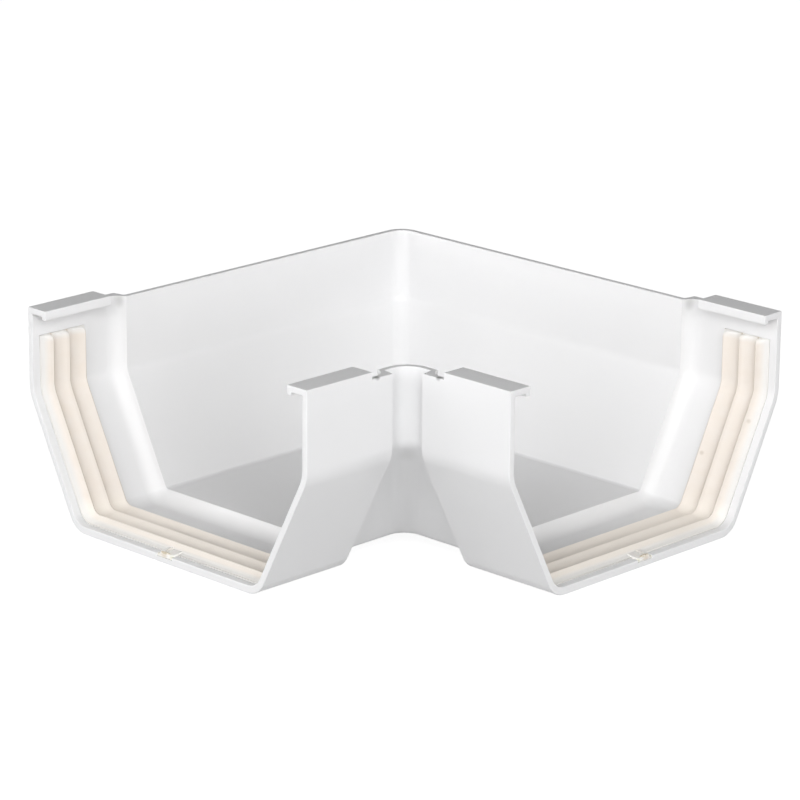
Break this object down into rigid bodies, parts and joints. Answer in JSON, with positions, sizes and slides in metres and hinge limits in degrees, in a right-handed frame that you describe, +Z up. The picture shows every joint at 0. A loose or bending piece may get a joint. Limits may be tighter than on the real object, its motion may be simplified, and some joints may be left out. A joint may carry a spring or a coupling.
{
  "type": "gutter corner",
  "caption": "Right-angle rainwater gutter corner of moulded plastic, open on top, with a wider snap-clip socket and a rubber seal at each end.",
  "frame": {"origin": "where the centre lines of the two gutters cross, on the underside of the channel", "axes": "+Z up, one arm along +X and the other along -Y; the undersides of the two sockets are 4 mm below the origin and are what the part rests on"},
  "size_m": [0.16, 0.16, 0.0663],
  "materials": {
    "white_plastic": "gloss",
    "cream_rubber": "satin"
  },
  "bodies": {
    "root": {"angle_body": "white_plastic", "seal_y": "cream_rubber", "seal_x": "cream_rubber"}
  },
  "joints": []
}
